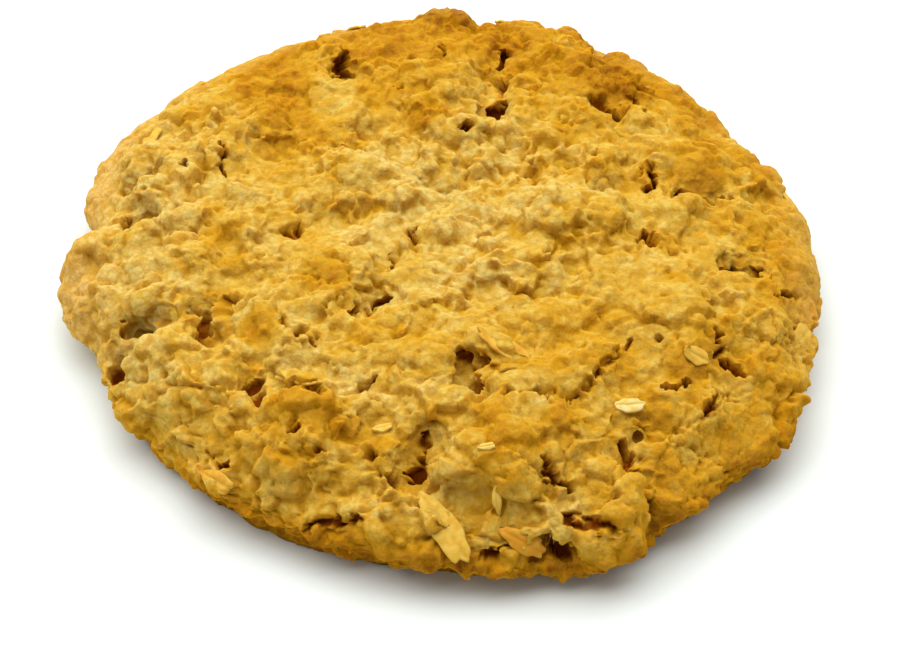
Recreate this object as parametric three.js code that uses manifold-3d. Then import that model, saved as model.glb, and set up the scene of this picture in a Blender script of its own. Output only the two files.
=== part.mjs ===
// Oat biscuit: one thick round of baked oat dough with a craggy top, a rounded rim and a flat base.
// Millimetres, +Z up. The origin is at the middle of the base, and the front of the biscuit faces -Y.

import * as THREE from 'three';
import { ImprovedNoise } from 'three/addons/math/ImprovedNoise.js';
import { mergeVertices } from 'three/addons/utils/BufferGeometryUtils.js';
import Module from 'manifold-3d';

// Driving dimensions of the round
const DIAMETER = 80;
const THICKNESS = 13;
const SKIRT = 1.5; // dough below the base plane, which is cut off flat

// Half section without relief, from the middle of the top over the rim to the widest level near the base.
// Each pair is a share of the radius and a share of the thickness.
const SECTION = [
  [0, 1],
  [0.5, 0.975],
  [0.78, 0.86],
  [0.94, 0.6],
  [1, 0.3],
];
const BASE_SHARE = 0.91; // the wall then rounds in under itself to this share of the radius

// The outline is a little oval, and bulges or draws in where the dough spread more or less
const OVAL = 0.03;
const OVAL_ANGLE = -50;
const BULGES = [
  { angle: -172, spread: 8, out: 2.4 },
  { angle: -150, spread: 9, out: 0.9 },
  { angle: -126, spread: 16, out: 1.0 },
  { angle: -95, spread: 42, out: 1.8 },
  { angle: -75, spread: 10, out: 1.5 },
  { angle: -56, spread: 14, out: 1.1 },
  { angle: -36, spread: 12, out: 1.3 },
  { angle: 6, spread: 12, out: 0.3 },
  { angle: 28, spread: 12, out: -1.4 },
  { angle: 67, spread: 6, out: 0.6 },
  { angle: 110, spread: 32, out: -0.9 },
  { angle: 145, spread: 5, out: -0.7 },
  { angle: 162, spread: 8, out: 1.0 },
  { angle: 175, spread: 4, out: -2.0 },
];

// Relief of the dough: small lumps all over, and slow swells below them
const MESH_DETAIL = 27;
const LUMP_SPACING = 6;
const LUMP_HEIGHTS = [0.7, 1.9];
const LUMP_SINK = 0.6; // how far the dough between the lumps lies below the plain round
const LUMP_JITTER = 0.9; // of the spacing
const LUMP_SEED = 20;
const LUMP_WOBBLE = { length: 3, reach: 1.2 }; // makes the borders between lumps uneven
const FURROW_WIDTH = 1.7;
const FURROW_DEPTH = 1.0;
const FURROW_PATCH = 8; // length of the patches in which furrows are open or closed
const SWELL_LENGTH = 11;
const SWELL_HEIGHT = 0.6;
const RIPPLE_LENGTH = 5;
const RIPPLE_HEIGHT = 0.3;
const CALM_REACH = [32, 41]; // along the surface, where the dough gets smoother towards the rim
const CALM_SHARE = 0.3; // small relief left on the rim and the wall
const CLUMP_WOBBLE = { length: 2.5, share: 0.35 }; // pushes the edge of a clump in and out
const CLUMP_CROWN = 0.35; // share of a clump's radius that is its flat crown
const CLUMP_CALM = 0.6; // how much flatter small lumps lie on a clump, for each millimetre of its height

// Clumps that stand out, and hollows between them. Their places are on the surface rolled out flat:
// x and y are measured from the middle of the top, and run on over the rim and down the wall.
const CLUMPS = [
  { x: 0, y: 37.5, radius: 4.2, height: 1.9 },
  { x: 11, y: 36, radius: 6.5, height: 0.9 },
  { x: -2.5, y: 15.5, radius: 3.2, height: 1.3 },
  { x: -1, y: 22.5, radius: 3.6, height: 1.2 },
  { x: -15, y: 23, radius: 4.6, height: 1.0 },
  { x: -19, y: 17, radius: 3.6, height: 1.1 },
  { x: -25, y: 13, radius: 4.6, height: 0.9 },
  { x: -32, y: 5, radius: 3.4, height: 1.2 },
  { x: -38, y: -1.5, radius: 3.8, height: 1.1 },
  { x: -36.5, y: -9.5, radius: 3.4, height: 1.1 },
  { x: -27, y: -6.5, radius: 4.8, height: 1.1 },
  { x: -31, y: -11.5, radius: 2.9, height: 1.2 },
  { x: -26, y: -21.5, radius: 6.6, height: 1.0 },
  { x: -18, y: -13.5, radius: 4.2, height: 1.1 },
  { x: -11, y: -8, radius: 4.2, height: 1.1 },
  { x: -14, y: -28, radius: 5.2, height: 1.6 },
  { x: 4, y: -32, radius: 5.4, height: 1.9 },
  { x: 16.5, y: -36, radius: 4.6, height: 1.5 },
  { x: 12.3, y: -28, radius: 3.2, height: 1.0 },
  { x: 6.5, y: -24, radius: 3.0, height: 1.0 },
  { x: 13.5, y: -20.5, radius: 4.8, height: 1.3 },
  { x: 22, y: -15, radius: 5.6, height: 1.2 },
  { x: 32.5, y: -12.5, radius: 5.4, height: 1.1 },
  { x: 7.5, y: -7, radius: 3.4, height: 0.9 },
  { x: 12.5, y: 0.5, radius: 4.8, height: 1.1 },
  { x: 25, y: 1.5, radius: 3.4, height: 1.1 },
  { x: 17.5, y: 7.5, radius: 3.2, height: 1.3 },
  { x: 26, y: 9.5, radius: 3.8, height: 1.3 },
  { x: 21.5, y: 22, radius: 3.0, height: 1.4 },
  { x: 12.5, y: 25, radius: 5.2, height: 1.0 },
];
const HOLLOWS = [
  { from: [-33.5, -13.4], to: [-30, -14.8], width: 1.5, depth: 2.4 },
  { from: [-35.5, -17.4], to: [-32.5, -16], width: 1.6, depth: 2.0 },
  { from: [-25, -13], to: [-24.3, -16.2], width: 2.0, depth: 2.2 },
  { from: [-34.2, 2.4], to: [-33.4, 1.8], width: 1.4, depth: 2.2 },
  { from: [-33.6, 8], to: [-31.2, 8.2], width: 1.4, depth: 1.6 },
  { from: [-10.6, 28], to: [-12, 24.4], width: 1.4, depth: 2.2 },
  { from: [5.8, 18.4], to: [5.5, 17.2], width: 1.6, depth: 2.2 },
  { from: [6.4, 29.5], to: [4.4, 21.6], width: 2.2, depth: 1.5 },
  { from: [16.5, 19.5], to: [19.5, 16.5], width: 2.4, depth: 1.4 },
  { from: [24.8, 4.1], to: [29.8, 4.6], width: 1.6, depth: 1.7 },
  { from: [29, -6.6], to: [32, -6.2], width: 1.4, depth: 2.2 },
  { from: [1.2, -20.4], to: [3, -24.6], width: 1.4, depth: 1.9 },
  { from: [-6.2, -11.8], to: [-9.4, -14.4], width: 1.4, depth: 1.6 },
  { from: [-2.1, -30], to: [-3.3, -34], width: 1.7, depth: 2.0 },
  { from: [19, -32.4], to: [20.8, -37], width: 1.5, depth: 1.7 },
  { from: [9, -40.5], to: [12.5, -41.5], width: 1.7, depth: 1.9 },
];

// Oat flakes that lie bare on the surface: those at the front, then those round the back and the sides
const FLAKE_THICKNESS = 0.9;
const FLAKE_LIFT = 0.3; // of a flake's middle above the dough round it
const FLAKE_SIDES = 10;
const FLAKE_RINGS = 4;
const FLAKES = [
  { x: 0.4, y: -41, length: 8.2, width: 3.2, heading: -62 },
  { x: 5.5, y: -20.2, length: 7.4, width: 3.4, heading: -24 },
  { x: -14.6, y: -24.2, length: 6.6, width: 2.6, heading: -36 },
  { x: 17.9, y: -26.9, length: 3.2, width: 1.8, heading: 8 },
  { x: -23.8, y: -33.6, length: 4.6, width: 2.5, heading: -48 },
  { x: 24.8, y: -20.2, length: 3.2, width: 2.0, heading: -15 },
  { x: 7.5, y: -43.5, length: 5.4, width: 2.4, heading: -28 },
  { x: -33, y: 15.5, length: 5.0, width: 2.6, heading: 70 },
  { x: 44, y: 10.5, length: 6.2, width: 3.4, heading: 105 },
  { x: 29.5, y: 34.5, length: 5.6, width: 3.0, heading: -20 },
  { x: 9.5, y: 45.5, length: 6.8, width: 3.2, heading: 15 },
  { x: -13, y: 44.5, length: 6.0, width: 3.4, heading: 155 },
  { x: -33, y: 30.5, length: 6.4, width: 3.0, heading: 40 },
  { x: -45, y: 4.5, length: 5.8, width: 3.0, heading: -75 },
  { x: 43.5, y: -14.5, length: 5.4, width: 2.8, heading: 60 },
];

const RADIUS = DIAMETER / 2;
const noise = new ImprovedNoise();

const section = new THREE.SplineCurve([
  ...SECTION.map(([across, up]) => new THREE.Vector2(across * RADIUS, up * THICKNESS)),
  new THREE.Vector2(BASE_SHARE * RADIUS, -SKIRT),
]);
const REACH = section.getLength(); // from the middle of the top to the end of the wall, along the surface

function smooth(value, low, high) {
  return THREE.MathUtils.smoothstep(value, low, high);
}

function outlineScale(angle) {
  let radius = RADIUS * (1 + OVAL * Math.cos(2 * (angle - THREE.MathUtils.degToRad(OVAL_ANGLE))));
  for (const { angle: middle, spread, out } of BULGES) {
    const turn = THREE.MathUtils.euclideanModulo(THREE.MathUtils.radToDeg(angle) - middle + 180, 360) - 180;
    radius += out * Math.exp(-((turn / spread) ** 2));
  }
  return radius / RADIUS;
}

// Middles of the small lumps, on a jittered grid that covers the rolled-out surface
function scatterLumps() {
  const lumps = [];
  THREE.MathUtils.seededRandom(LUMP_SEED);
  const jitter = () => (THREE.MathUtils.seededRandom() - 0.5) * LUMP_JITTER * LUMP_SPACING;
  for (let x = -REACH; x <= REACH; x += LUMP_SPACING) {
    for (let y = -REACH; y <= REACH; y += LUMP_SPACING) {
      const height = THREE.MathUtils.lerp(...LUMP_HEIGHTS, THREE.MathUtils.seededRandom());
      lumps.push({ x: x + jitter(), y: y + jitter(), height });
    }
  }
  return lumps;
}
const lumps = scatterLumps();

// Each lump is a dome round its middle, and a furrow of varying depth parts it from the next one
function lumpRelief(x, y) {
  const wobbleX = x + LUMP_WOBBLE.reach * noise.noise(x / LUMP_WOBBLE.length, y / LUMP_WOBBLE.length, 5);
  const wobbleY = y + LUMP_WOBBLE.reach * noise.noise(x / LUMP_WOBBLE.length, y / LUMP_WOBBLE.length, 9);
  let nearest = Infinity;
  let second = Infinity;
  let height = 0;
  for (const lump of lumps) {
    const distance = Math.hypot(wobbleX - lump.x, wobbleY - lump.y);
    if (distance < nearest) {
      second = nearest;
      nearest = distance;
      height = lump.height;
    } else if (distance < second) {
      second = distance;
    }
  }
  const rise = smooth(second - nearest, 0, LUMP_SPACING);
  const furrow = Math.exp(-(((second - nearest) / FURROW_WIDTH) ** 2));
  const open = smooth(noise.noise(x / FURROW_PATCH, y / FURROW_PATCH, 2), -0.1, 0.45);
  return height * rise - FURROW_DEPTH * open * furrow;
}

function clumpRelief(x, y) {
  let relief = 0;
  for (const clump of CLUMPS) {
    const uneven = noise.noise(x / CLUMP_WOBBLE.length, y / CLUMP_WOBBLE.length, clump.radius);
    const edge = clump.radius * (1 + CLUMP_WOBBLE.share * uneven);
    const distance = Math.hypot(x - clump.x, y - clump.y) / edge;
    relief = Math.max(relief, clump.height * (1 - smooth(distance, CLUMP_CROWN, 1)));
  }
  return relief;
}

function hollowRelief(x, y) {
  let relief = 0;
  for (const { from, to, width, depth } of HOLLOWS) {
    const along = new THREE.Vector2(to[0] - from[0], to[1] - from[1]);
    const offset = new THREE.Vector2(x - from[0], y - from[1]);
    const share = THREE.MathUtils.clamp(offset.dot(along) / along.lengthSq(), 0, 1);
    const distance = offset.addScaledVector(along, -share).length();
    relief = Math.min(relief, -depth * (1 - smooth(distance, 0.3 * width, 1.3 * width)));
  }
  return relief;
}

function reliefAt(x, y) {
  const swell = SWELL_HEIGHT * noise.noise(x / SWELL_LENGTH, y / SWELL_LENGTH, 0);
  const ripple = RIPPLE_HEIGHT * noise.noise(x / RIPPLE_LENGTH, y / RIPPLE_LENGTH, 3);
  const raised = clumpRelief(x, y);
  const small = lumpRelief(x, y) / (1 + CLUMP_CALM * raised);
  const calm = THREE.MathUtils.lerp(1, CALM_SHARE, smooth(Math.hypot(x, y), ...CALM_REACH));
  return calm * (swell + ripple + small - LUMP_SINK) + raised + hollowRelief(x, y);
}

// Point on the round at a place of the rolled-out surface, raised by the relief there
function surfaceAt(x, y) {
  const angle = Math.atan2(y, x);
  const share = Math.min(Math.hypot(x, y) / REACH, 1);
  const point = section.getPointAt(share);
  const tangent = section.getTangentAt(share);
  const relief = reliefAt(x, y);
  const radius = point.x * outlineScale(angle) - relief * tangent.y;
  return new THREE.Vector3(radius * Math.cos(angle), radius * Math.sin(angle), point.y + relief * tangent.x);
}

// The upper half of a fine sphere becomes the top and the wall, and its lower half the closed end
function doughGeometry() {
  const geometry = new THREE.IcosahedronGeometry(1, MESH_DETAIL);
  const positions = geometry.getAttribute('position');
  const direction = new THREE.Vector3();
  for (let i = 0; i < positions.count; i++) {
    direction.fromBufferAttribute(positions, i).normalize();
    const angle = Math.atan2(direction.y, direction.x);
    const reach = REACH * Math.sqrt(Math.max(1 - Math.max(direction.z, 0), 0));
    const point = surfaceAt(reach * Math.cos(angle), reach * Math.sin(angle));
    if (direction.z < 0) {
      const inward = Math.sqrt(Math.max(1 + direction.z, 0));
      point.x *= inward;
      point.y *= inward;
    }
    positions.setXYZ(i, point.x, point.y, point.z);
  }
  return geometry;
}

// A flake is a thin oval pressed into the dough: it lies in the mean plane of the dough under its two axes
function flakeGeometry({ x, y, length, width, heading }) {
  const turn = THREE.MathUtils.degToRad(heading);
  const along = new THREE.Vector2(Math.cos(turn), Math.sin(turn)).multiplyScalar(length / 2);
  const across = new THREE.Vector2(-Math.sin(turn), Math.cos(turn)).multiplyScalar(width / 2);
  const tip = surfaceAt(x + along.x, y + along.y);
  const tail = surfaceAt(x - along.x, y - along.y);
  const left = surfaceAt(x + across.x, y + across.y);
  const right = surfaceAt(x - across.x, y - across.y);
  const middle = new THREE.Vector3().add(tip).add(tail).add(left).add(right).divideScalar(4);
  const forward = tip.sub(tail).normalize();
  const outward = new THREE.Vector3().crossVectors(forward, left.sub(right)).normalize();
  const side = new THREE.Vector3().crossVectors(outward, forward);
  middle.addScaledVector(outward, FLAKE_LIFT);
  const geometry = new THREE.SphereGeometry(0.5, FLAKE_SIDES, FLAKE_RINGS);
  geometry.rotateX(Math.PI / 2);
  geometry.scale(length, width, FLAKE_THICKNESS);
  geometry.applyMatrix4(new THREE.Matrix4().makeBasis(forward, side, outward).setPosition(middle));
  return geometry;
}

const wasm = await Module();
wasm.setup();

function solidOf(geometry) {
  geometry.deleteAttribute('normal');
  geometry.deleteAttribute('uv');
  const merged = mergeVertices(geometry, 1e-4);
  const vertProperties = new Float32Array(merged.getAttribute('position').array);
  const triVerts = new Uint32Array(merged.getIndex().array);
  return new wasm.Manifold(new wasm.Mesh({ numProp: 3, vertProperties, triVerts }));
}

function geometryOf(solid) {
  const { vertProperties, triVerts } = solid.getMesh();
  const geometry = new THREE.BufferGeometry();
  geometry.setAttribute('position', new THREE.BufferAttribute(vertProperties, 3));
  geometry.setIndex(new THREE.BufferAttribute(triVerts, 1));
  geometry.computeVertexNormals();
  return geometry;
}

// Dough and flakes are one baked piece. What lies below the base plane is cut off, loose scraps are dropped,
// and the middle of the piece is set over the origin.
function biscuitGeometry() {
  let solid = solidOf(doughGeometry());
  for (const flake of FLAKES) {
    solid = solid.add(solidOf(flakeGeometry(flake)));
  }
  const below = new THREE.BoxGeometry(2 * DIAMETER, 2 * DIAMETER, DIAMETER).translate(0, 0, -DIAMETER / 2);
  solid = solid.subtract(solidOf(below));
  const bodies = solid.decompose().sort((a, b) => b.volume() - a.volume());
  const geometry = geometryOf(bodies[0]);
  geometry.computeBoundingBox();
  const middle = geometry.boundingBox.getCenter(new THREE.Vector3());
  return geometry.translate(-middle.x, -middle.y, 0);
}

const bakedDough = new THREE.MeshStandardMaterial({ color: 0xd4a34a, roughness: 0.85, metalness: 0 });

const biscuit = new THREE.Mesh(biscuitGeometry(), bakedDough);
biscuit.name = 'biscuit';

const round = new THREE.Group();
round.add(biscuit);

export default round;
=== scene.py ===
import math

import bmesh
import bpy
import numpy as np
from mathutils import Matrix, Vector, noise


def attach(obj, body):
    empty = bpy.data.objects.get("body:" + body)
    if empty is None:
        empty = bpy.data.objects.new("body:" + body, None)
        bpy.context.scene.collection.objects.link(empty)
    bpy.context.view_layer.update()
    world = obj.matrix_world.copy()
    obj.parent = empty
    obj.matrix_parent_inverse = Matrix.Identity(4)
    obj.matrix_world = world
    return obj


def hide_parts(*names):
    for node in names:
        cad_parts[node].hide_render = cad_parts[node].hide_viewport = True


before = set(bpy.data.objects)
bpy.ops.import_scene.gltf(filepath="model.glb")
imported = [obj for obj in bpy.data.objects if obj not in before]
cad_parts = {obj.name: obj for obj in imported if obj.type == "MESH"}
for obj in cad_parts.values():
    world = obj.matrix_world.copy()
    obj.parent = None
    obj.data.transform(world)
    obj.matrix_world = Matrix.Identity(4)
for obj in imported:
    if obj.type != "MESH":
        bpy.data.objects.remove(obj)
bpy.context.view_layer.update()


# Dough
# The biscuit is one round of oat dough: clumps of oats, sugar and butter, pressed together and baked
# on a flat tray. Its crust is dry crumb, with open pits and cracks where the clumps don't quite meet.
mm = 0.001
draw = np.random.default_rng(374)

# The surface rolled out flat: places in mm to the right and to the back of the middle of the top.
# They run on over the rim, where the distance grows with the drop below the crown.
top_middle = np.array((0.62, 1.5)) * mm
crown_height = 13 * mm
wall_gain = 0.0165
wall_power = 2.42

# Pits and cracks on the rolled-out surface: both ends, width and depth in mm
cracks = np.array([
    (-33.5, -13.4, -30.0, -14.8, 1.3, 2.2),
    (-35.8, -17.4, -32.5, -16.0, 1.1, 2.6),
    (-25.2, -12.8, -24.4, -16.0, 1.4, 1.7),
    (-22.8, -12.2, -22.0, -12.0, 1.0, 1.8),
    (-34.6, 2.4, -33.6, 1.8, 1.4, 1.8),
    (-35.5, 8.0, -31.5, 8.2, 1.1, 1.5),
    (-28.3, 7.9, -28.0, 7.4, 0.9, 2.0),
    (-24.2, 11.0, -23.8, 7.2, 0.7, 1.8),
    (-11.0, 27.8, -11.9, 24.4, 1.3, 3.0),
    (5.8, 18.6, 5.5, 17.2, 1.1, 3.0),
    (2.5, 12.4, 2.1, 12.1, 0.9, 2.4),
    (6.2, 10.6, 5.6, 10.6, 0.9, 1.2),
    (6.4, 30.0, 6.4, 27.4, 0.9, 2.0),
    (5.9, 24.6, 5.6, 22.0, 0.8, 2.2),
    (-5.7, 20.2, -5.6, 19.8, 0.6, 1.6),
    (-3.6, 27.3, -2.0, 26.0, 0.6, 1.6),
    (-0.6, 27.9, -0.4, 27.4, 0.6, 1.6),
    (16.8, 19.2, 19.2, 16.8, 1.7, 1.6),
    (20.6, 19.0, 22.4, 15.0, 0.7, 2.0),
    (16.8, 23.8, 18.0, 22.2, 0.9, 1.6),
    (21.3, 7.8, 22.0, 5.6, 0.9, 2.2),
    (24.7, 4.3, 26.6, 4.2, 0.9, 2.2),
    (27.8, 3.8, 30.2, 5.0, 0.8, 2.2),
    (15.8, 9.8, 15.8, 9.2, 0.6, 1.8),
    (8.9, 8.2, 9.2, 5.0, 0.8, 1.4),
    (-16.4, -2.4, -15.6, -2.0, 1.7, 1.9),
    (-3.6, -2.0, -3.7, -3.8, 0.8, 2.0),
    (3.6, -3.8, 4.8, -3.6, 1.0, 1.9),
    (-5.5, -6.4, -5.8, -8.0, 0.6, 1.8),
    (-6.2, -11.6, -9.4, -14.5, 0.7, 1.8),
    (-17.0, -16.5, -13.5, -18.3, 0.9, 2.0),
    (20.8, -2.2, 21.0, -4.9, 0.8, 2.2),
    (28.8, -6.6, 32.2, -6.2, 1.2, 3.0),
    (34.6, -9.8, 38.0, -7.9, 0.8, 2.0),
    (26.9, -13.4, 26.8, -13.8, 0.8, 1.8),
    (27.3, -17.3, 29.6, -20.4, 0.9, 2.2),
    (20.8, -18.6, 21.4, -18.0, 0.7, 1.8),
    (1.0, -20.3, 4.0, -22.2, 0.8, 1.4),
    (3.0, -23.6, 2.8, -25.4, 0.8, 1.2),
    (5.5, -26.2, 10.0, -26.7, 0.6, 1.5),
    (10.0, -26.7, 13.5, -25.4, 0.6, 1.5),
    (13.5, -25.4, 17.0, -21.6, 0.6, 1.5),
    (17.0, -21.6, 18.7, -18.0, 0.6, 1.4),
    (27.3, -23.8, 26.3, -27.0, 0.8, 2.0),
    (22.0, -24.4, 24.2, -23.2, 0.7, 1.8),
    (-2.1, -30.4, -3.1, -34.0, 0.8, 2.2),
    (-4.8, -35.4, -5.0, -35.0, 0.9, 2.2),
    (-7.6, -32.8, -7.2, -32.4, 0.8, 1.8),
    (-25.2, -29.8, -22.7, -31.8, 0.8, 2.2),
    (17.6, -31.4, 18.9, -33.6, 1.2, 2.6),
    (18.9, -33.6, 21.0, -37.6, 1.2, 2.6),
    (9.3, -34.0, 12.0, -36.4, 0.7, 1.9),
    (11.8, -39.2, 16.6, -40.6, 0.8, 2.0),
    (9.4, -42.0, 12.6, -43.2, 1.3, 3.0),
    (3.4, -44.2, 8.0, -41.8, 0.6, 1.8),
    (-15.0, -40.0, -9.6, -39.4, 0.8, 1.8),
    (-12.6, -33.0, -12.2, -32.6, 0.7, 1.8),
    (-15.2, -30.2, -14.8, -30.0, 0.6, 1.6),
    (-8.4, -24.2, -7.4, -23.6, 0.8, 2.0),
    (-19.1, -23.4, -18.4, -26.0, 0.7, 1.8),
    (-14.6, -25.6, -12.8, -26.8, 0.7, 1.8),
]) * mm

# How the sides of a crack run: how far they wander, over what length in mm and with what seed,
# the shares of the width between which they slope down, and how much of the depth is open.
# The bottom is uneven: its level as a share of the depth, how much that differs, and over what length in mm
crack_wander = ((0.8, 1.8, 3), (0.5, 0.7, 5))
crack_slope = (0.1, 0.75)
crack_open = 0.85
bottom_level = 0.85
bottom_uneven = 0.5
bottom_length = 1.1


def rolled_out(points):
    """Places on the rolled-out surface: the distance from the middle of the top grows down the wall."""
    across = points[:, :2] - top_middle
    radius = np.hypot(across[:, 0], across[:, 1])
    drop = np.clip(crown_height - points[:, 2], 0, None) / mm
    reach = radius + wall_gain * drop ** wall_power * mm
    return across * (reach / np.maximum(radius, 1e-6))[:, None]


def noise_at(points, length, seed):
    """Smooth noise from -1 to 1 with lumps of the given length."""
    shift = Vector((seed * 17.3, seed * 5.1, seed * 11.7))
    return np.array([noise.noise(Vector(p) + shift) for p in points / length])


def step(values, low, high):
    """0 below low, 1 above high, and a smooth rise between."""
    share = np.clip((values - low) / (high - low), 0, 1)
    return share * share * (3 - 2 * share)


def crack_depth(points):
    """How deep the pits and cracks cut in at each point."""
    wander = [
        sum(far * mm * noise_at(points, length * mm, seed + k) for far, length, seed in crack_wander)
        for k in range(2)
    ]
    places = rolled_out(points) + np.stack(wander, axis=1)
    depth = np.zeros(len(points))
    for x0, y0, x1, y1, width, deep in cracks:
        start, along = np.array((x0, y0)), np.array((x1 - x0, y1 - y0))
        share = np.clip((places - start) @ along / max(along @ along, 1e-12), 0, 1)
        away = np.linalg.norm(places - start - share[:, None] * along, axis=1)
        depth = np.maximum(depth, crack_open * deep * (1 - step(away / width, *crack_slope)))
    return depth * (bottom_level + bottom_uneven * noise_at(points, bottom_length * mm, 8))


def points_of(mesh):
    points = np.empty(3 * len(mesh.vertices))
    mesh.vertices.foreach_get("co", points)
    return points.reshape(-1, 3)


def normals_of(mesh):
    normals = np.empty(3 * len(mesh.vertices), np.float32)
    mesh.vertex_normals.foreach_get("vector", normals)
    return normals.reshape(-1, 3).astype(float)


def edges_of(mesh):
    edges = np.empty(2 * len(mesh.edges), np.int32)
    mesh.edges.foreach_get("vertices", edges)
    return edges.reshape(-1, 2)


def settle(piece):
    """Makes the result of a piece's modifiers its mesh."""
    ready = piece.evaluated_get(bpy.context.evaluated_depsgraph_get())
    mesh = bpy.data.meshes.new_from_object(ready)
    piece.modifiers.clear()
    piece.data = mesh


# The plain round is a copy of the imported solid, under one closed and smoothed skin
skin_voxel = 0.21 * mm
skin_passes = 26
plain = bmesh.new()
plain.from_mesh(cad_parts["biscuit"].data)
bmesh.ops.remove_doubles(plain, verts=plain.verts, dist=0.01 * mm)
plain_mesh = bpy.data.meshes.new("plain_round")
plain.to_mesh(plain_mesh)
plain.free()
dough = bpy.data.objects.new("dough", plain_mesh)
bpy.context.scene.collection.objects.link(dough)
skin = dough.modifiers.new("skin", "REMESH")
skin.mode = "VOXEL"
skin.voxel_size = skin_voxel
soften = dough.modifiers.new("soften", "SMOOTH")
soften.factor = 0.5
soften.iterations = skin_passes
settle(dough)

# Lumps that the dough is pressed together from, large to small: their length, how much their levels differ,
# how far their tops are domed and how deep the gaps between them are, in mm
lump_kinds = ((5.4, 0.48, 0.42, 0.50), (2.4, 0.38, 0.32, 0.44), (1.2, 0.18, 0.22, 0.16))

# How much the sizes of neighbouring lumps differ, and how their edges wander: how far and over what length,
# both against the lump's length, and a seed. The two keys draw each lump's size and level apart.
lump_spread = 0.3
lump_wander = ((0.25, 0.5, 20), (0.12, 0.2, 30))
size_key, level_key = 91.7, 53.3

# Gaps are open in patches: the length of a patch against the lump's, the noise between which a gap opens,
# what is left of a closed one, and the width of a gap's side against the lump's length
gap_patch = 1.4
gap_opens = (-0.05, 0.35)
gap_closed = 0.12
gap_side = 0.12

# Slow swells under the lumps, in mm
swell_length = 8.0
swell_rise = 0.28
swell_slope = 0.2


def lumps_at(points, length, seed):
    """Lumps of many sizes side by side: the level of each point's lump, its distance from the lump's middle
    squared, how far it lies inside the lump's edge, and the way to the lump's middle."""
    shift = Vector((seed * 3.7, seed * 9.1, seed * 6.3))
    level, away, inside = np.empty((3, len(points)))
    to_middle = np.empty((len(points), 3))
    for number, point in enumerate(points / length):
        distances, middles = noise.voronoi(Vector(point) + shift)
        claims = [lump_spread * noise.cell(m * size_key) - d * d for d, m in zip(distances, middles)]
        own = max(range(4), key=claims.__getitem__)
        first = claims.pop(own)
        # Most lumps lie low, and a few stand high
        level[number] = 0.5 * (1 + noise.cell(middles[own] * level_key)) ** 2 - 1
        away[number] = distances[own] ** 2
        inside[number] = first - max(claims)
        to_middle[number] = middles[own] - shift - Vector(point)
    return level, away, inside, to_middle * length


def crumb_relief(points):
    """How far the crumb stands above the plain round, and the way to the middle of the smallest lump."""
    height = swell_rise * np.tanh(noise_at(points, swell_length * mm, 80) / swell_slope)
    for kind, (length, rise, dome, gap) in enumerate(lump_kinds):
        warp = np.stack([
            sum(
                far * noise_at(points, share * length * mm, seed + 3 * kind + k)
                for far, share, seed in lump_wander
            )
            for k in range(3)
        ], axis=1)
        level, away, inside, to_middle = lumps_at(points + length * mm * warp, length * mm, 40 + kind)
        patch = step(noise_at(points, gap_patch * length * mm, 90 + kind), *gap_opens)
        gap_open = gap_closed + (1 - gap_closed) * patch
        height += rise * level - dome * away - gap * gap_open * (1 - step(inside, 0, gap_side))
    return height * mm, to_middle


def blurred(values, edges, passes):
    """The values, each averaged with those of its neighbours along the edges, pass by pass."""
    one, other = edges.T
    count = np.bincount(edges.ravel(), minlength=len(values))
    for _ in range(passes):
        around = np.bincount(one, values[other], len(values)) + np.bincount(other, values[one], len(values))
        values = 0.5 * values + 0.5 * around / count
    return values


points = points_of(dough.data)
normals = normals_of(dough.data)
edges = edges_of(dough.data)
places = rolled_out(points) / mm
right, back = places.T
reach = np.hypot(right, back)
up = points[:, 2] / mm

# The crumb is calmer on the rim, at the sides and the back, and rougher at the front. It lies a little deeper
# on the wall, so that the outline stays that of the plain round, and it fades out towards the base.
rim_calm = 0.5
front_rough = 0.15
wall_sink = 0.3 * mm
relief_full = 1.2 * mm
relief_passes = 2
at_rim = step(reach, 34, 40) * step(back, -16, -2)
at_front = step(reach, 26, 36) * step(-back, 8, 24)
height, to_middle = crumb_relief(points)
height = blurred(height, edges, relief_passes) * (1 - rim_calm * at_rim + front_rough * at_front)
height -= height.mean() + wall_sink * step(reach, 33, 40)
upper = np.clip(points[:, 2] / relief_full, 0, 1)

# Cracks partly follow the edges of the smallest lumps, and flatten the crumb inside them
follow_lumps = 0.35
crack_calm = 0.5
cut = crack_depth(points + follow_lumps * to_middle)
height = height * (1 - crack_calm * step(cut / mm, 0.2, 1.0)) - cut

# Two measures of how low a point lies in mm: against its close neighbours, and against a wider ring
near_passes, wide_passes = 24, 200
hollow = (blurred(height, edges, near_passes) - height) / mm
low = (blurred(height, edges, wide_passes) - height) / mm

# Browning: the oven colours the rim, the back, the right and the base, and leaves the middle and left pale.
# Each row has what is measured, the range in mm over which it changes, and how much browner it gets.
plain_brown = 0.27
browner = (
    (reach, (24, 36), 0.08),
    (-up, (-2.5, -0.2), 0.45),
    (back, (8, 32), 0.32),
    (-right, (18, 36), -0.26),
    (right, (8, 24), 0.12),
)
browned_and_shaded = np.full(len(points), plain_brown)
for measure, limits, amount in browner:
    browned_and_shaded += amount * step(measure, *limits)
# Painted shade: the lower front of the wall, which the lamp behind leaves in shadow, is darkened on the same
# scale as the browning
front_base_shade = 0.55
browned_and_shaded += front_base_shade * step(-up, -7.2, -3.2) * step(-back, 12, 32)
middle_pale = 0.22
browned_and_shaded -= middle_pale * (1 - step(np.hypot(right + 1, (back + 2) * 0.8), 4, 15))

# Uneven browning: how much, over what length in mm, and a seed
uneven_brown = ((0.28, 6, 5), (0.22, 2.5, 6))
for amount, length, seed in uneven_brown:
    browned_and_shaded += amount * noise_at(points, length * mm, seed)

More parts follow.
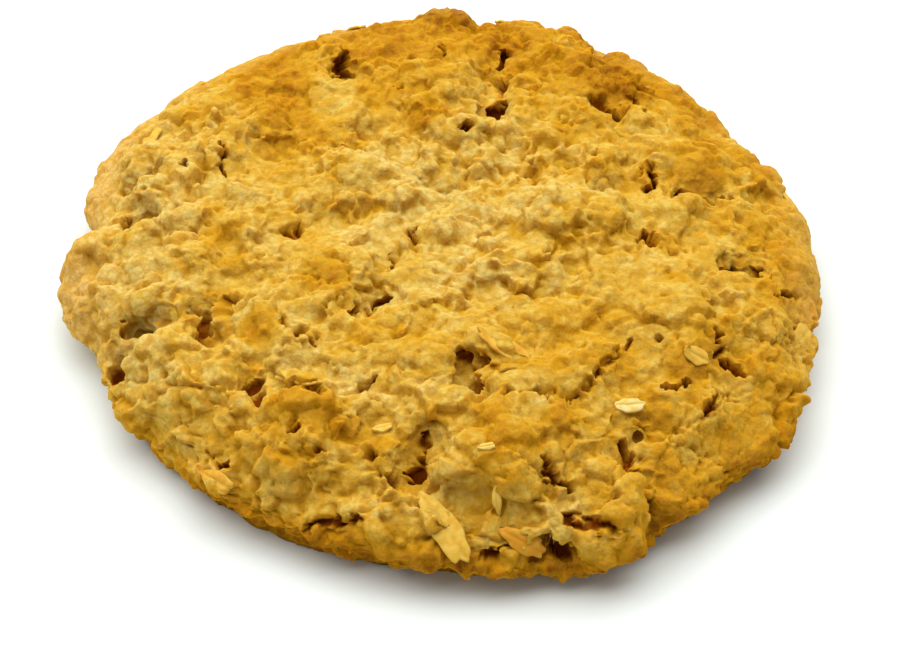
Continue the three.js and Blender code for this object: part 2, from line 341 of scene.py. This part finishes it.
# Toasted patches with ragged edges: place and radius in mm, and how much browner
toasted_patches = (
    (-14, -28, 5.5, 0.32), (4, -31, 5.0, 0.28), (-2.5, 15, 3.2, 0.50), (-19, 17, 3.6, 0.25),
    (-14, 13, 3.0, 0.25), (12.5, -28, 3.0, 0.25), (9, -7, 2.4, 0.20), (27, 8.5, 4.2, 0.30),
    (21, 22, 3.2, 0.60), (0.5, 37, 4.6, 0.60), (17, 7, 2.6, 0.25), (23.5, -21.5, 2.6, 0.25),
    (-19, -17, 3.0, 0.30), (-12, -9.5, 2.6, 0.25), (23.5, -10.5, 2.4, 0.20), (-23.5, -3.5, 2.4, 0.25),
    (17, 25, 5.0, 0.25), (-20, 24, 6.0, 0.2),
)
patch_wander = ((1.3, 2.4, 7), (0.7, 0.9, 9))
patch_edge = (0.3, 1.1)
ragged = [
    sum(far * noise_at(points, length * mm, seed + k) for far, length, seed in patch_wander)
    for k in range(2)
]
for x, y, radius, amount in toasted_patches:
    away = np.hypot(right + ragged[0] - x, back + ragged[1] - y) / radius
    browned_and_shaded += amount * (1 - step(away, *patch_edge))

# Crumb that lies low is painted a darker yellow, most of all in the middle: partly its own moist colour,
# partly painted shade. Pit bottoms and deep hollows are painted dark, as painted shade
moist_and_shaded = step(low, 0.05, 0.5) * (0.7 - 0.4 * step(reach, 14, 28))
pit_shade = np.maximum(step(cut / mm, 0.5, 1.3), 0.8 * step(hollow, 0.40, 0.9))

# The crumb is raised on the skin. The wall draws in a little under itself, and the base is flat.
wall_radius = 40 * mm
undercut = 0.5 * mm * step(-up, -4.5, -0.3)
base_flat = 0.25 * mm
points[:, :2] *= (1 - undercut / wall_radius)[:, None]
points += normals * (height * upper)[:, None]
outside = normals[:, 2] > -0.3
crust_points, crust_normals, crust_places = points[outside], normals[outside], places[outside]
points[:, 2] = np.where(points[:, 2] < base_flat, 0, points[:, 2])
dough.data.vertices.foreach_set("co", points.ravel())
dough.data.update()

# Creases and the sides of lumps are painted browner, as painted shade, and the rim has a tan skin, stronger
# on the left
steepness = 1 - np.sum(normals_of(dough.data) * normals, axis=1)
crease_shade = np.maximum(0.75 * step(hollow, 0.02, 0.26), 0.55 * step(steepness, 0.08, 0.45))
rim = step(reach, 34, 42) * step(points[:, 2] / mm, 1.5, 4) * step(back, -22, -8)
rim *= 1 + 0.8 * step(-right, 18, 36)


def store(mesh, name, values):
    layer = mesh.attributes.new(name, "FLOAT", "POINT")
    layer.data.foreach_set("value", values.astype(np.float32))


store(dough.data, "browned_and_shaded", browned_and_shaded)
store(dough.data, "moist_and_shaded", moist_and_shaded)
store(dough.data, "crease_shade", crease_shade)
store(dough.data, "pit_shade", pit_shade)
store(dough.data, "rim", rim)

# The base is closed again with flat triangles, and the mesh is thinned
most_triangles = 195000
base = bmesh.new()
base.from_mesh(dough.data)
flat_faces = [f for f in base.faces if all(v.co.z <= 0 for v in f.verts)]
bmesh.ops.delete(base, geom=flat_faces, context="FACES")
base_edge = [e for e in base.edges if e.is_boundary]
bmesh.ops.triangle_fill(base, use_beauty=True, edges=base_edge, normal=(0, 0, -1))
bmesh.ops.recalc_face_normals(base, faces=base.faces)
base.to_mesh(dough.data)
base.free()
dough.data.calc_loop_triangles()
thin = dough.modifiers.new("thin", "DECIMATE")
thin.ratio = min(1, most_triangles / len(dough.data.loop_triangles))
settle(dough)

# A very fine unevenness, everywhere but on the base
fine_uneven = 0.008 * mm
base_edge_height = 0.1 * mm
points = points_of(dough.data)
push = np.where(points[:, 2] > base_edge_height, draw.normal(0, fine_uneven, len(points)), 0)
points += normals_of(dough.data) * push[:, None]
points[:, 2] = np.maximum(points[:, 2], 0)
dough.data.vertices.foreach_set("co", points.ravel())
dough.data.update()
dough.data.shade_smooth()
dough.data.set_sharp_from_angle(angle=math.radians(60))


def add_node(tree, kind, inputs=(), **settings):
    """A shader node with its settings, and its inputs set to values or joined to other nodes' outputs."""
    made = tree.nodes.new("ShaderNode" + kind)
    for name, value in settings.items():
        setattr(made, name, value)
    for name, value in dict(inputs).items():
        if isinstance(value, bpy.types.NodeSocket):
            tree.links.new(value, made.inputs[name])
        else:
            made.inputs[name].default_value = value
    return made


def measure_of(tree, name):
    """A measure that was stored on the piece's points."""
    return add_node(tree, "Attribute", attribute_name=name).outputs["Fac"]


def between(tree, value, low, high, to_low, to_high):
    """A value from the range low to high, brought into the range to_low to to_high."""
    limits = {"Value": value, "From Min": low, "From Max": high, "To Min": to_low, "To Max": to_high}
    return add_node(tree, "MapRange", limits).outputs["Result"]


def coloured(tree, share, colour, tint):
    """A colour, mixed with a tint by its share."""
    mixed = add_node(tree, "Mix", {"Factor": share, "A": colour, "B": (*tint, 1)}, data_type="RGBA")
    return mixed.outputs["Result"]


def colour_scale(tree, factor, stops):
    """Colours along a scale from 0 to 1."""
    scale = add_node(tree, "ValToRGB", {"Fac": factor})
    band = scale.color_ramp.elements
    while len(band) < len(stops):
        band.new(1)
    for stop, (place, colour) in zip(band, stops):
        stop.position = place
        stop.color = (*colour, 1)
    return scale.outputs["Color"]


# Colours of the crust from pale to toasted, and of what lies in it: a tan skin, moist crumb that is partly
# painted shade, and painted shade in creases, between grains and in pits
crust_colours = (
    (0.0, (0.54, 0.40, 0.115)),
    (0.28, (0.525, 0.346, 0.060)),
    (0.52, (0.475, 0.25, 0.018)),
    (0.78, (0.365, 0.15, 0.010)),
    (1.0, (0.20, 0.065, 0.005)),
)
tan_skin = (0.56, 0.335, 0.095)
moist_crumb_shade = (0.48, 0.29, 0.016)
crease_shade_brown = (0.40, 0.165, 0.001)
grain_gap_shade = (0.43, 0.212, 0.006)
pit_shade_brown = (0.18, 0.037, 0.001)

# Grain sizes, as grains or lumps of noise to the metre
mottle_scale, grit_scale, wander_scale = 900, 2000, 2500
coarse_scale, fine_scale = 1100, 2700
wander_reach = 0.3 * mm
fine_share = 0.45

dough_finish = bpy.data.materials.new("baked_dough")
dough_finish.use_nodes = True
tree = dough_finish.node_tree
shader = tree.nodes["Principled BSDF"]
where = add_node(tree, "TexCoord").outputs["Object"]
mottle = add_node(tree, "TexNoise", {"Vector": where, "Scale": mottle_scale, "Detail": 4}).outputs["Fac"]
gritty = {"Vector": where, "Scale": grit_scale, "Detail": 3, "Roughness": 0.7}
grit = add_node(tree, "TexNoise", gritty).outputs["Fac"]
wander = add_node(tree, "TexNoise", {"Vector": where, "Scale": wander_scale, "Detail": 2}).outputs["Color"]
wandering = {0: wander, 1: (wander_reach, wander_reach, wander_reach), 2: where}
wandered = add_node(tree, "VectorMath", wandering, operation="MULTIPLY_ADD").outputs["Vector"]
coarse = add_node(tree, "TexVoronoi", {"Vector": wandered, "Scale": coarse_scale}).outputs["Distance"]
fine = add_node(tree, "TexVoronoi", {"Vector": wandered, "Scale": fine_scale}).outputs["Distance"]
grains = add_node(tree, "Math", {0: fine, 1: fine_share, 2: coarse}, operation="MULTIPLY_ADD")
grain = grains.outputs["Value"]

uneven = between(tree, mottle, 0.3, 0.7, -0.12, 0.12)
shade = add_node(tree, "Math", {0: measure_of(tree, "browned_and_shaded"), 1: uneven}, operation="ADD").outputs["Value"]
colour = colour_scale(tree, shade, crust_colours)
tan_part = add_node(tree, "Math", {0: measure_of(tree, "rim"), 1: 0.5}, operation="MULTIPLY")
tan_share = tan_part.outputs["Value"]
colour = coloured(tree, tan_share, colour, tan_skin)
# Painted shade goes over the crust: on low crumb, which is partly its own moist colour, and in creases,
# between grains and in pits
colour = coloured(tree, measure_of(tree, "moist_and_shaded"), colour, moist_crumb_shade)
colour = coloured(tree, measure_of(tree, "crease_shade"), colour, crease_shade_brown)
# Painted shade: the gaps between the fine grains of the bump are painted browner
colour = coloured(tree, between(tree, grain, 0.55, 0.95, 0, 0.55), colour, grain_gap_shade)
colour = coloured(tree, measure_of(tree, "pit_shade"), colour, pit_shade_brown)
grit_shade = between(tree, grit, 0.35, 0.65, 0.94, 1.08)
colour = add_node(tree, "VectorMath", {0: colour, "Scale": grit_shade}, operation="SCALE").outputs["Vector"]
tree.links.new(colour, shader.inputs["Base Color"])
shader.inputs["Subsurface Weight"].default_value = 0.6
shader.inputs["Subsurface Radius"].default_value = (1, 0.55, 0.12)
shader.inputs["Subsurface Scale"].default_value = 1.0 * mm
shader.inputs["Roughness"].default_value = 0.75
shader.inputs["Specular IOR Level"].default_value = 0
bump = add_node(tree, "Bump", {"Height": grain, "Strength": 0.55, "Distance": 0.3 * mm}, invert=True)
tree.links.new(bump.outputs["Normal"], shader.inputs["Normal"])
dough.data.materials.append(dough_finish)
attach(dough, "root")
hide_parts("biscuit")


# Oat flakes
# Rolled oats pressed into the dough, bare where the crumb does not cover them. Each is a thin oval flake
# with a crease along its middle and ragged edges. On the top its ends curl up, and on the wall they curl in.

# Where they lie on the rolled-out surface, their length and width in mm, their heading in degrees,
# how pale they are, and how far they stand out of the crumb in mm
flakes = (
    (-0.4, -39.6, 8.4, 2.8, -60, 0.42, -0.05),
    (5.5, -20.2, 5.8, 2.3, -24, 0.25, 0.0),
    (-14.6, -24.2, 5.2, 1.9, -36, 0.3, 0.0),
    (17.9, -26.9, 3.0, 1.5, 8, 0.9, 0.15),
    (-23.8, -33.6, 4.2, 2.0, -48, 0.25, 0.0),
    (24.8, -20.2, 2.9, 1.7, -15, 0.4, 0.05),
    (7.5, -42.0, 5.0, 2.2, -28, 0.0, 0.1),
    (-33.0, 15.5, 4.4, 2.0, 70, 0.4, -0.1),
    (39.2, 9.4, 5.8, 2.7, 105, 0.35, -0.1),
    (26.4, 30.8, 5.2, 2.5, -20, 0.3, -0.1),
    (8.4, 40.4, 6.2, 2.8, 35, 0.4, -0.1),
    (-11.4, 39.6, 5.2, 2.6, 120, 0.35, -0.15),
    (-30.4, 28.2, 5.8, 2.6, 40, 0.3, -0.15),
    (-40.4, 4.0, 5.2, 2.4, -75, 0.4, -0.15),
    (38.6, -12.9, 4.8, 2.3, 60, 0.35, -0.15),
    (4.6, -38.2, 3.4, 0.9, 100, 0.5, 0.05),
    (-6.5, -29.5, 2.0, 1.0, 20, 0.6, 0.1),
    (3.8, -33.8, 1.8, 0.8, 5, 0.65, 0.05),
)
flake_thickness = 0.55 * mm
flake_taper = 0.2
edge_ragged, edge_length = 0.22, 0.45
curl_up, curl_in = 0.25 * mm, -0.5 * mm
wall_reach = 36
crease_depth, crease_width, crease_end = 0.13 * mm, 0.14, 0.95
wave_height, wave_length = 0.12 * mm, 1.2 * mm
lying_share = 0.4
crust_share = 60
floor_gap = 0.2 * mm


def surface_at(x, y):
    """The point of the crust at a place on the rolled-out surface."""
    return crust_points[np.argmin(np.hypot(crust_places[:, 0] - x, crust_places[:, 1] - y))]


ball = bmesh.new()
bmesh.ops.create_icosphere(ball, subdivisions=4, radius=1)
ball.verts.index_update()
ball_points = np.array([v.co for v in ball.verts])
ball_triangles = np.array([[v.index for v in f.verts] for f in ball.faces])
ball.free()

flake_points, flake_triangles, flake_tones = [], [], []
for number, (x, y, length, width, heading, pale, proud) in enumerate(flakes):
    # The flake itself, drawn out and pressed flat from a ball
    along, across, through = ball_points.T
    edge = 1 + edge_ragged * noise_at(np.stack([along, across, 0 * along], axis=1), edge_length, 100 + number)
    run = 0.5 * length * mm * along * edge
    side = 0.5 * width * mm * across * edge * (1 + flake_taper * along)
    lift = 0.5 * flake_thickness * np.sign(through) * np.abs(through) ** 0.5
    curl = curl_up if np.hypot(x, y) < wall_reach else curl_in
    crease = crease_depth * np.exp(-(across / crease_width) ** 2) * (np.abs(along) < crease_end)
    lift += curl * along ** 2 - crease
    lift += wave_height * noise_at(np.stack([run, side, 0 * run], axis=1), wave_length, 130 + number)

    # Its place: it lies along the crust, at the height that most of the crust under it has
    turn = np.radians(heading)
    half = lying_share * length
    middle = surface_at(x, y)
    ahead = surface_at(x + half * np.cos(turn), y + half * np.sin(turn))
    behind = surface_at(x - half * np.cos(turn), y - half * np.sin(turn))
    lengthways = ahead - behind
    lengthways /= np.linalg.norm(lengthways)
    under = np.hypot(crust_places[:, 0] - x, crust_places[:, 1] - y) < half
    normal = crust_normals[under].mean(axis=0)
    normal -= lengthways * (normal @ lengthways)
    normal /= np.linalg.norm(normal)
    crust_rise = np.percentile((crust_points[under] - middle) @ normal, crust_share)
    middle = middle + (crust_rise + proud * mm) * normal
    sideways = np.cross(normal, lengthways)
    spread = run[:, None] * lengthways + side[:, None] * sideways
    flake_points.append(middle + spread + lift[:, None] * normal)
    flake_triangles.append(ball_triangles + number * len(ball_points))
    flake_tones.append(np.full(len(ball_points), pale))
flake_points = np.concatenate(flake_points)
flake_points[:, 2] = np.maximum(flake_points[:, 2], floor_gap)
oats_mesh = bpy.data.meshes.new("oat_flakes")
oats_mesh.from_pydata(flake_points, [], np.concatenate(flake_triangles))
oats_mesh.shade_smooth()
store(oats_mesh, "pale", np.concatenate(flake_tones))
oats = bpy.data.objects.new("oat_flakes", oats_mesh)
bpy.context.scene.collection.objects.link(oats)

# From toasted to bare and pale
oat_colours = (
    (0.0, (0.54, 0.23, 0.012)),
    (0.4, (0.60, 0.36, 0.04)),
    (0.75, (0.64, 0.44, 0.09)),
    (1.0, (0.70, 0.54, 0.20)),
)
bran_scale = 1400
oat_finish = bpy.data.materials.new("oat_flake")
oat_finish.use_nodes = True
tree = oat_finish.node_tree
shader = tree.nodes["Principled BSDF"]
where = add_node(tree, "TexCoord").outputs["Object"]
bran = add_node(tree, "TexNoise", {"Vector": where, "Scale": bran_scale, "Detail": 4}).outputs["Fac"]
uneven = between(tree, bran, 0.3, 0.7, -0.25, 0.25)
shade = add_node(tree, "Math", {0: measure_of(tree, "pale"), 1: uneven}, operation="ADD").outputs["Value"]
tree.links.new(colour_scale(tree, shade, oat_colours), shader.inputs["Base Color"])
shader.inputs["Roughness"].default_value = 0.6
shader.inputs["Specular IOR Level"].default_value = 0.15
oats_mesh.materials.append(oat_finish)
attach(oats, "root")


# Floor
# A plain pale sheet that the biscuit lies on. It runs out past the view on every side, and its matt white
# throws soft light back on the wall.
sheet = bmesh.new()
bmesh.ops.create_grid(sheet, x_segments=1, y_segments=1, size=2)
floor_mesh = bpy.data.meshes.new("floor")
sheet.to_mesh(floor_mesh)
sheet.free()
floor = bpy.data.objects.new("floor", floor_mesh)
bpy.context.scene.collection.objects.link(floor)
floor_finish = bpy.data.materials.new("white_ground")
floor_finish.use_nodes = True
shader = floor_finish.node_tree.nodes["Principled BSDF"]
shader.inputs["Base Color"].default_value = (0.735, 0.775, 0.745, 1)
shader.inputs["Roughness"].default_value = 0.9
floor_mesh.materials.append(floor_finish)


# Light
# One wide soft lamp hangs above and a little behind the biscuit, so that its front lies in a soft shadow.
# The white room all round fills in the rest.
room = bpy.data.worlds.new("white_room")
room.use_nodes = True
room.node_tree.nodes["Background"].inputs["Color"].default_value = (1, 1, 1, 1)
room.node_tree.nodes["Background"].inputs["Strength"].default_value = 0.38
bpy.context.scene.world = room
lamp_data = bpy.data.lights.new("soft_lamp", "AREA")
lamp_data.shape = "RECTANGLE"
lamp_data.size = 1.1
lamp_data.size_y = 0.7
lamp_data.energy = 7.2
lamp = bpy.data.objects.new("soft_lamp", lamp_data)
bpy.context.scene.collection.objects.link(lamp)
lamp.location = (-0.04, 0.12, 0.5)
lamp.rotation_euler = (-lamp.location).to_track_quat("-Z", "Y").to_euler()


# Camera
# It stands in front of the biscuit and looks down on it at about 45 degrees, as in the photograph.
# The lens is long, so the round is drawn with little perspective.
view_data = bpy.data.cameras.new("camera")
view_data.lens = 112.6
view_data.sensor_width = 36
view_data.clip_start = 0.01
camera = bpy.data.objects.new("camera", view_data)
bpy.context.scene.collection.objects.link(camera)
camera.location = (0.7 * mm, -216.2 * mm, 212.5 * mm)
aim = Vector((0.95, -4.35, 0)) * mm
camera.rotation_euler = (aim - camera.location).to_track_quat("-Z", "Y").to_euler()
bpy.context.scene.camera = camera
bpy.context.scene.view_settings.view_transform = "Standard"
